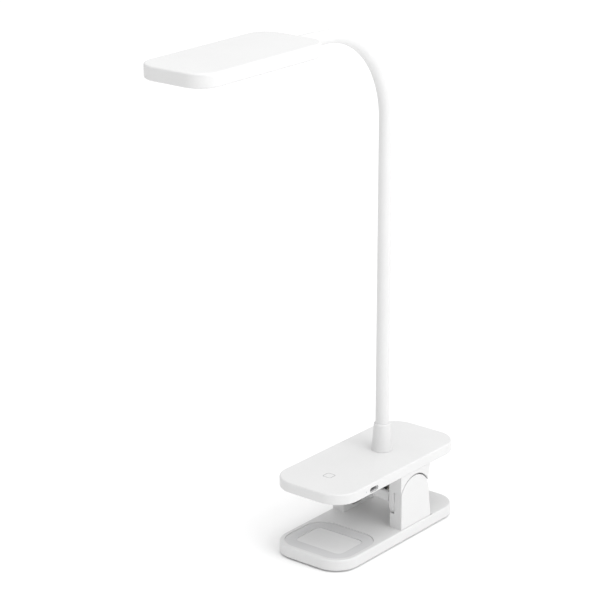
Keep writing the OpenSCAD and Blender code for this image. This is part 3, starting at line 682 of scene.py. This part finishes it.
def lower_jaw():
    """The lower shell with its room for the pads, its ears and its screw posts."""
    low, high = (-half_w, -half_l, low_base), (half_w, half_l, low_top)
    jaw = slab("lower_jaw_shell", low, high, JAW_CORNER, JAW_EDGE, JAW_EDGE)
    sink(jaw, low_base, JAW_WALL - JAW_EDGE, 5.8)
    room = slab(
        "pad room",
        (ring_low.x - 0.1, ring_low.y - 0.1, ring_low.z),
        (ring_high.x + 0.1, ring_high.y + 0.1, low_top + 1),
        PAD_CORNER,
    )
    combine(jaw, room, "DIFFERENCE")
    ears = ear()
    mirrored(ears)
    combine(jaw, ears, "UNION")
    rings = [(1, 0), (2.4, 0), (2.4, 4.4), (1, 4.4), (1, 0)]
    posts = [turned("post", (x, y, low_base + PLATE), (0, 0, 1), rings, 32) for x, y in screw_places]
    combine(jaw, joined(posts), "UNION")
    finished(jaw, white, "lower_jaw", ["low_shell"])


def ear_cap(node):
    """An ear's outer face with its two pegs, made on the right and mirrored for the left."""
    cap = ear_blank(node + "_cover", ear_out - CAP, ear_out, low_top - 0.02)
    round_edges(cap, 0.45, 4, lies_at("X", ear_out))
    round_edges(cap, 0.12, 1, lies_at("X", ear_out - CAP))
    pegs = [rod("peg", 1.2, (ear_out - CAP - 1.4, hinge.y + y, hinge.z - 8), 3.2, "X", 40) for y in (-9, 9)]
    cap = joined([cap, *pegs])
    if span(node)[1].x < 0:
        activate(cap)
        bpy.ops.transform.mirror(constraint_axis=(True, False, False), center_override=(0, 0, 0))
        bpy.ops.object.transform_apply(location=True, rotation=True, scale=True)
    finished(cap, white, "lower_jaw", [node])


def grip_pads():
    """The grey ring round the paler insert, both sunk in the jaw, and the pad over them."""
    ring = slab("grip_ring_pad", ring_low, ring_high, PAD_CORNER - 0.1, top=0.25)
    hole = slab(
        "hole",
        (insert_low.x - 0.05, insert_low.y - 0.05, ring_low.z - 1),
        (insert_high.x + 0.05, insert_high.y + 0.05, ring_high.z + 1),
        4.55,
    )
    combine(ring, hole, "DIFFERENCE")

    def by_the_insert(edge):
        return lies_at("Z", ring_high.z)(edge) and all(
            abs(point.co.x / MM) < insert_high.x + 0.2
            and insert_low.y - 0.2 < point.co.y / MM < insert_high.y + 0.2
            for point in edge.verts
        )

    round_edges(ring, 0.3, 3, by_the_insert)
    finished(ring, ring_grey, "lower_jaw", ["grip_ring"])
    insert = slab("grip_insert_pad", insert_low, insert_high, 4.5, top=0.2)
    finished(insert, insert_grey, "lower_jaw", ["grip_insert"])
    low, high = span("up_grip_pad")
    upper = slab("upper_grip_pad_skin", low, high, PAD_CORNER, bottom=0.35)
    ribs = [
        block("rib", (-20, y - 0.5, low.z - 0.5), (20, y + 0.5, low.z + 0.3))
        for y in [(low.y + high.y) / 2 + 4 * k for k in range(-4, 5)]
    ]
    combine(upper, joined(ribs), "DIFFERENCE")
    finished(upper, ring_grey, "upper_jaw", ["up_grip_pad"])


def foot():
    """The foot pad with a shallow rim and a field of crosswise grooves."""
    low, high = span("foot_pad")
    pad = slab("foot_pad_skin", low, high, 15, bottom=0.25)
    grooves = [
        block("groove", (-22, y - 0.6, low.z - 1), (22, y + 0.6, low.z + 0.3))
        for y in range(-54, 55, 6)
    ]
    combine(pad, joined(grooves), "DIFFERENCE")
    finished(pad, foot_grey, "lower_jaw", ["foot_pad"])


# ---- upper jaw ----


def upper_shell():
    """The upper shell with its charging opening, pinhole, touch mark's groove and neck bore."""
    shell = slab("upper_jaw_shell", up_low, up_high, JAW_CORNER, JAW_EDGE, JAW_EDGE)
    sink(shell, up_low.z, JAW_WALL - JAW_EDGE, up_high.z - up_low.z - 1.6)
    low, high = span("usb_c_socket")
    gap = 0.22
    port = block("port", (half_w - 3, low.y - gap, low.z - gap), (half_w + 2, high.y + gap, high.z + gap))
    round_edges(port, 1.85, 12, reaches("X", 1))
    combine(shell, port, "DIFFERENCE")
    pipe_low, pipe_high = span("charge_light_pipe")
    middle = (pipe_low + pipe_high) / 2
    combine(shell, rod("pinhole", 0.55, (half_w, middle.y, middle.z), 6, "X", 32), "DIFFERENCE")
    icon_low, icon_high = span("touch_icon")
    outer = slab("icon", icon_low, (*icon_high[:2], up_high.z + 1), 1.6, corner_steps=8)
    inner = slab(
        "icon core",
        (icon_low.x + 0.5, icon_low.y + 0.5, icon_low.z - 1),
        (icon_high.x - 0.5, icon_high.y - 0.5, up_high.z + 2),
        1.1,
        corner_steps=8,
    )
    combine(outer, inner, "DIFFERENCE")
    combine(shell, outer, "DIFFERENCE")
    bore = rod("neck bore", 3.55, (0, bends[0].y, up_high.z), 8, "Z", 48)
    combine(shell, bore, "DIFFERENCE")
    finished(shell, white, "upper_jaw", ["up_shell"])


def tray():
    """The plate that closes the upper jaw, with the cheeks and the blocks that flank the ears."""
    rear = hinge.y + EAR_RADIUS + 0.9
    front = hinge.y - CHEEK_RADIUS + 0.1
    top = up_low.z + 0.5
    slope = 3.6

    def bracket(name, x0, x1):
        piece = block(name, (x0, front, hinge.z), (x1, rear, top))
        pick(piece, "EDGE", lambda edge: lies_at("Y", rear)(edge) and lies_at("Z", hinge.z)(edge))
        bpy.ops.transform.translate(value=(0, -slope * MM, 0))
        done()
        return piece

    cheek = bracket("cheek", cheek_in, cheek_out)
    disc = rod("disc", CHEEK_RADIUS, ((cheek_in + cheek_out) / 2, hinge.y, hinge.z), CHEEK_WIDTH, "X")
    combine(cheek, disc, "UNION")
    flank = bracket("flank", cheek_out - 0.5, ear_out)
    swing = rod("swing room", EAR_RADIUS + SWING_GAP, (0, hinge.y, hinge.z), 4 * half_w, "X", 192)
    combine(flank, swing, "DIFFERENCE")
    combine(cheek, flank, "UNION")
    bush = rod("bush bore", 3.05, ((cheek_in + cheek_out) / 2, hinge.y, hinge.z), 12, "X", 48)
    combine(cheek, bush, "DIFFERENCE")
    soften(cheek, 0.35, 3)
    inner_wall = half_w - JAW_WALL - 0.16
    wall_room = block("wall room", (inner_wall, -half_l, up_low.z - 0.1), (half_w, half_l, top + 1))
    combine(cheek, wall_room, "DIFFERENCE")
    mirrored(cheek)
    rim = JAW_WALL + 0.1
    plate = slab(
        "upper_jaw_tray",
        (-half_w + rim, -half_l + rim, up_low.z),
        (half_w - rim, half_l - rim, up_low.z + PLATE),
        JAW_CORNER - rim,
        bottom=0.12,
    )
    rings = [(2.05, 0), (1.05, 1.15), (1.05, 3)]
    wells = [turned("well", (x, y, up_low.z - 0.1), (0, 0, 1), rings, 32) for x, y in screw_places]
    combine(plate, joined(wells), "DIFFERENCE")
    plate = joined([plate, cheek])
    finished(plate, white, "upper_jaw", ["up_tray"])


def brace():
    """The curved bridge between the cheeks, in front of the spring, with stepped ends and an arched edge."""
    low, high = span("cheek_brace")
    band_radius, end_radius, bore_radius = 15.1, 14.2, 13.3
    band = rod("cheek_bridge", band_radius, (0, hinge.y, hinge.z), 2 * (cheek_in - 1.7), "X", 160)
    ends = rod("ends", end_radius, (0, hinge.y, hinge.z), 2 * high.x, "X", 160)
    combine(band, ends, "UNION")
    combine(band, rod("bore", bore_radius, (0, hinge.y, hinge.z), 4 * half_w, "X", 160), "DIFFERENCE")
    half_arch, rise = 14.5, 2.2
    arch = (half_arch * half_arch + rise * rise) / rise / 2
    combine(band, rod("arch", arch, (0, hinge.y - 14, low.z + rise - arch), 12, "Y", 360), "DIFFERENCE")
    keep = block("keep", (-half_w, hinge.y - 30, low.z), (half_w, hinge.y, high.z))
    combine(band, keep, "INTERSECT")
    soften(band, 0.3, 3)
    finished(band, white, "upper_jaw", ["cheek_brace"])


def cross_screws(node, body):
    """Countersunk screws with a cross recess, at the places of the CAD screws of one jaw."""
    low = span(node)[0]
    head_radius, shank_radius, length = 1.9, 0.95, 4.2
    rings = [(head_radius, 0), (shank_radius, 1), (shank_radius, length)]
    first = turned(node + "_heads", (screw_x, screw_y, low.z), (0, 0, 1), rings, 40)
    for half_x, half_y in ((0.24, 1.1), (1.1, 0.24)):
        recess = block(
            "recess",
            (screw_x - half_x, screw_y - half_y, low.z - 0.5),
            (screw_x + half_x, screw_y + half_y, low.z + 0.55),
        )
        combine(first, recess, "DIFFERENCE")
    others = [
        copied(first, "screw", shift)
        for shift in ((-2 * screw_x, 0, 0), (0, -2 * screw_y, 0), (-2 * screw_x, -2 * screw_y, 0))
    ]
    finished(joined([first, *others]), steel, body, [node])


def collar():
    """The tapered collar round the neck's foot, with a flat brim."""
    low, high = span("neck_collar")
    foot_radius, top_radius, height = high.x, 5.85, high.z - low.z
    seat = NECK_RADIUS + 0.05
    rings = [
        (seat, 5), (3.55, 5), (3.55, 0), (foot_radius - 0.15, 0), (foot_radius, 0.15), (foot_radius, 0.7),
        (foot_radius - 0.22, 1.3), (foot_radius - 0.35, 2), (top_radius + 0.02, height - 1),
        (top_radius - 0.06, height - 0.5), (top_radius - 0.28, height - 0.15), (top_radius - 0.6, height),
        (seat, height), (seat, 5),
    ]
    piece = turned("collar", (0, bends[0].y, low.z), (0, 0, 1), rings, 128)
    finished(piece, white, "upper_jaw", ["neck_collar"], angle=38)


# ---- spring ----


def spring():
    """The hinge's torsion spring: two legs and a close coil, with a leg reaching each jaw."""
    coil, wire, leg, turns = 5.0, 0.9, 28.5, 9
    reach_up = Vector((hinge.y + leg, up_low.z - wire - 0.05))
    reach_low = Vector((hinge.y + leg, low_top + wire + 0.05))

    def bearing(point):
        return math.atan2(point.y - hinge.z, point.x - hinge.y)

    def lean(point):
        return math.acos(coil / math.hypot(point.x - hinge.y, point.y - hinge.z))

    start = bearing(reach_up) + lean(reach_up)
    end = bearing(reach_low) - lean(reach_low) + 2 * math.pi * turns
    width = span("torsion_spring")[1].x - wire
    route = [(-width, reach_up.x, reach_up.y)]
    steps = 360
    for step in range(steps + 1):
        angle = start + (end - start) * step / steps
        x = -width + 2 * width * step / steps
        route.append((x, hinge.y + coil * math.cos(angle), hinge.z + coil * math.sin(angle)))
    route.append((width, reach_low.x, reach_low.y))
    data = bpy.data.curves.new("torsion_spring_wire", "CURVE")
    data.dimensions = "3D"
    data.bevel_depth = wire * MM
    data.bevel_resolution = 4
    data.use_fill_caps = True
    line = data.splines.new("POLY")
    line.points.add(len(route) - 1)
    for point, place in zip(line.points, route):
        point.co = (*(Vector(place) * MM), 1)
    piece = bpy.data.objects.new("torsion_spring_wire", data)
    bpy.context.scene.collection.objects.link(piece)
    activate(piece)
    bpy.ops.object.convert(target="MESH")
    piece = bpy.context.object
    finished(piece, wire_steel, None, ["torsion_spring"], angle=50, flat=False)
    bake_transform(piece)


# ---- neck ----


def along(point):
    """How far along the neck's centre line a point lies, in millimetres."""
    _, y, z = Vector(point) / MM
    if z <= bend_centre.z:
        return z
    if y < bend_centre.y:
        return bend_centre.z + bend_radius * math.pi / 2 + bend_centre.y - y
    angle = math.atan2(z - bend_centre.z, y - bend_centre.y)
    return bend_centre.z + bend_radius * angle


def neck_tube(name, radius, base, end_y, straight_steps, bend_steps, steps):
    """A tube along the neck from a height to the place where it ends."""
    bpy.ops.object.select_all(action="DESELECT")
    bpy.ops.mesh.primitive_circle_add(
        vertices=steps, radius=radius * MM, location=(0, bends[0].y * MM, base * MM)
    )
    piece = placed(name)
    pick_all(piece)
    forward = end_y - bend_centre.y
    pull((0, 0, (bend_centre.z - base) * MM))
    bpy.ops.mesh.spin(
        steps=bend_steps, angle=math.pi / 2, center=bend_centre * MM, axis=(-1, 0, 0), dupli=False
    )
    pull((0, forward * MM, 0))
    done()
    pick(piece, "EDGE", reaches("Z", 100))
    bpy.ops.mesh.subdivide(number_cuts=straight_steps)
    done()
    pick(piece, "EDGE", reaches("Y", abs(forward) * 0.9))
    bpy.ops.mesh.subdivide(number_cuts=max(1, round(abs(forward) / 1.5)))
    mend(0.001)
    return piece


def in_lengths(piece, cuts):
    """Cuts a tube at places along the neck and returns the lengths in order."""
    lengths = []
    for cut in cuts:
        pick(piece, "FACE", lambda face: along(face.calc_center_median()) < cut)
        bpy.ops.mesh.separate(type="SELECTED")
        done()
        lengths.append(next(o for o in bpy.context.selected_objects if o != piece))
    return [*lengths, piece]


def neck():
    """The silicone sleeve and the wound core in it, cut into lengths that each hold one joint."""
    joints = [along(b * MM) for b in bends]
    cuts = [(a + b) / 2 for a, b in zip(joints, joints[1:])]
    base = span("neck_sleeve_0")[0].z
    sleeve = neck_tube("sleeve", NECK_RADIUS, base, span("neck_sleeve_7")[0].y, 191, 90, 56)
    core = neck_tube("core", CORE_RADIUS, span("neck_core_0")[0].z, span("neck_core_7")[0].y, 297, 134, 14)
    rings = sorted({round(along(point.co), 2) for point in core.data.vertices})
    grooves = set(rings[1::2])
    pick(core, "VERT", lambda point: round(along(point.co), 2) in grooves)
    bpy.ops.transform.shrink_fatten(value=-0.32 * MM)
    done()
    for tube, wall, kind, finish, slot in (
        (sleeve, 2.1, "sleeve", sleeve_white, "white_silicone"),
        (core, 1.2, "core", core_steel, "steel"),
    ):
        for k, length in enumerate(in_lengths(tube, cuts), 1):
            length.name = length.data.name = f"neck_{kind}_length_{k}"
            apply_modifier(length, "SOLIDIFY", thickness=wall * MM, offset=-1, use_even_offset=False)
            nodes = [f"neck_{kind}_{k}"] + ([f"neck_{kind}_0"] if k == 1 else [])
            finished(length, finish, None, nodes, angle=50, flat=False)
            way = Vector((0, 0, 1)) if k < 6 else Vector((0, -1, 1)) if k == 6 else Vector((0, -1, 0))
            before, after = (11 if k == 1 else 20), (7.5 if k == 7 else 20)
            start, end = bends[k - 1] - way.normalized() * before, bends[k - 1] + way.normalized() * after
            BODIES[k + 1]
            start * MM
            end * MM
            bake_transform(length)


# ---- head ----


def ferrule():
    """The short ferrule between the neck and the head, with two tongues that are screwed in the head."""
    low, high = span("head_ferrule")
    seat, end_radius, root = NECK_RADIUS + 0.05, 5.15, 5.45
    length = high.y - head_high.y
    rings = [
        (seat, 9), (2.55, 9), (2.55, 15), (1.6, 15), (1.6, length), (root, length), (end_radius + 0.04, 0.9),
        (end_radius - 0.08, 0.4), (end_radius - 0.26, 0.08), (end_radius - 0.34, 0), (seat, 0), (seat, 9),
    ]
    piece = turned("ferrule", (0, high.y, bends[6].z), (0, -1, 0), rings, 112)
    tongues = []
    for side in (-1, 1):
        x0, x1 = sorted((side * 2.6, side * 8))
        z0 = bends[6].z + 0.6
        tongue = block("tongue", (x0, low.y, z0), (x1, head_high.y - 0.03, z0 + 2.4))
        bore = rod("tongue bore", 0.9, (side * 5.3, head_high.y - 5.2, z0), 8, "Z", 24)
        combine(tongue, bore, "DIFFERENCE")
        soften(tongue, 0.2, 2)
        root_x0, root_x1 = sorted((side * 2.9, side * 4.2))
        root_block = block("root", (root_x0, head_high.y - 2, z0 + 0.3), (root_x1, head_high.y + 1, z0 + 2.1))
        combine(tongue, root_block, "UNION")
        tongues.append(tongue)
    combine(piece, joined(tongues), "UNION")
    finished(piece, white, "head", ["head_ferrule"], angle=38)


def head():
    """The lamp head: shell, window frame and diffuser."""
    edge, wall, thick = 1.4, 1.8, head_high.z - head_low.z
    shell = slab("head_housing", head_low, head_high, 15.3, edge, edge, 20)
    sink(shell, head_low.z, wall - edge, thick - wall)
    for side in (-1, 1):
        x0, x1 = sorted((side * 2.5, side * 8.1))
        z0 = bends[6].z + 0.5
        slot = block("slot", (x0, head_high.y - wall - 1, z0), (x1, head_high.y + 1, z0 + 2.6))
        combine(shell, slot, "DIFFERENCE")
    finished(shell, white, "head", ["head_shell"])
    low, high = span("head_bezel")
    bezel = slab("window_frame", low, high, 13.4, bottom=0.12)
    rim_x, rim_y = 7.75, 8.8
    window = slab(
        "window",
        (head_low.x + rim_x, head_low.y + rim_y, low.z - 1),
        (head_high.x - rim_x, head_high.y - rim_y, high.z + 1),
        6,
    )
    combine(bezel, window, "DIFFERENCE")
    reach_x = head_high.x - rim_x + 0.1
    reach_y = (head_high.y - head_low.y) / 2 - rim_y + 0.1

    def by_the_window(edge):
        return lies_at("Z", low.z)(edge) and all(
            abs(point.co.x / MM) < reach_x and abs(point.co.y / MM - head_mid) < reach_y
            for point in edge.verts
        )

    round_edges(bezel, 0.35, 3, by_the_window)
    finished(bezel, white, "head", ["head_bezel"])
    low, high = span("diffuser")
    flange = slab("diffuser_sheet", (low.x, low.y, high.z - 1), high, 8)
    rim = 2.1
    face_low, face_high = (low.x + rim, low.y + rim, low.z), (high.x - rim, high.y - rim, high.z - 0.5)
    face = slab("face", face_low, face_high, 5.9, bottom=0.25)
    combine(flange, face, "UNION")
    finished(flange, opal_finish(), "head", ["diffuser"])


# ---- what stays as it is in the frame ----


def kept_nodes():
    """Inner pieces keep their own shape and get a finish."""
    red_black = lead_finish("battery lead insulation", 9.8, (0.32, 0.012, 0.012), (0.03, 0.03, 0.032))
    lamp_pair = lead_finish("lamp lead insulation", 0.0, (0.02, 0.02, 0.022), (0.6, 0.6, 0.6))
    finishes = {
        "low_cover": white,
        "ballast": steel,
        "hinge_pin": steel,
        "pin_clips": wire_steel,
        "spring_tube": nylon,
        "hinge_bushes": nylon,
        "battery": wrap_finish(),
        "main_board": board_finish(),
        "board_chips": chip_finish(),
        "board_screws": steel,
        "usb_c_socket": socket_finish(),
        "charge_light_pipe": clear_finish(),
        "touch_pad": foam_finish(),
        "touch_icon": icon_print,
        "battery_leads": red_black,
        "lamp_leads": lamp_pair,
        "head_leads": lamp_pair,
        "neck_nipple": steel,
        "nipple_nut": steel,
        "ferrule_screws": steel,
        "reflector": reflector_white,
        "led_board": light_board,
        "led_chips": light_source_finish(),
        "led_board_screws": steel,
    }
    for node, finish in finishes.items():
        piece = frame["nodes"][node]
        piece.data.materials.clear()
        piece.data.materials.append(finish)


# ---- studio ----


def studio():
    """A pale floor under soft lights, and the camera."""
    scene = bpy.context.scene
    scene.view_settings.view_transform = "Standard"
    scene.view_settings.look = "None"
    world = bpy.data.worlds.new("studio")
    scene.world = world
    world.use_nodes = True
    background = world.node_tree.nodes["Background"]
    background.inputs["Color"].default_value = (1, 1, 1, 1)
    background.inputs["Strength"].default_value = 0.74

    bpy.ops.object.select_all(action="DESELECT")
    bpy.ops.mesh.primitive_plane_add(size=14, location=(0, 0, -0.0002))
    floor = placed("floor")
    finish = Finish("pale floor")
    x, y, _ = finish.axes()
    away = (x * x + y * y).then("SQRT")
    glow = finish.blend(away.ramp(350, 1500), (0.05, 0.05, 0.05), (1, 1, 1))
    pale = (0.92, 0.92, 0.92, 1)
    finish.surface(Base_Color=pale, Roughness=0.9, Emission_Color=glow, Emission_Strength=0.32)
    floor.data.materials.append(finish.material)

    target = Vector((-0.03659, -0.02921, 0.17234))
    for name, azimuth, elevation, distance, size, power in (
        ("overhead light", 60, 82, 1.4, 1.3, 9.4),
        ("key light", 85, 32, 1.5, 1.1, 8.4),
        ("side fill", 115, 28, 1.6, 1.2, 1.2),
        ("back fill", 150, 25, 1.6, 1.2, 2.1),
    ):
        across, up = math.radians(azimuth), math.radians(elevation)
        way = Vector((math.sin(across) * math.cos(up), -math.cos(across) * math.cos(up), math.sin(up)))
        data = bpy.data.lights.new(name, "AREA")
        data.shape = "SQUARE"
        data.size = size
        data.energy = power
        lamp = bpy.data.objects.new(name, data)
        lamp.location = target + way * distance
        lamp.rotation_euler = (-way).to_track_quat("-Z", "Y").to_euler()
        scene.collection.objects.link(lamp)

    data = bpy.data.cameras.new("camera")
    data.lens, data.sensor_width = 138.57, 36
    data.clip_start, data.clip_end = 0.05, 40
    camera = bpy.data.objects.new("camera", data)
    camera.location = (0.8910, -1.1913, 0.6824)
    camera.rotation_euler = (target - camera.location).to_track_quat("-Z", "Y").to_euler()
    scene.collection.objects.link(camera)
    scene.camera = camera


lower_jaw()
ear_cap("ear_cap_right")
ear_cap("ear_cap_left")
grip_pads()
foot()
upper_shell()
tray()
brace()
cross_screws("up_screws", "upper_jaw")
cross_screws("low_screws", "lower_jaw")
collar()
spring()
neck()
ferrule()
head()
kept_nodes()
studio()
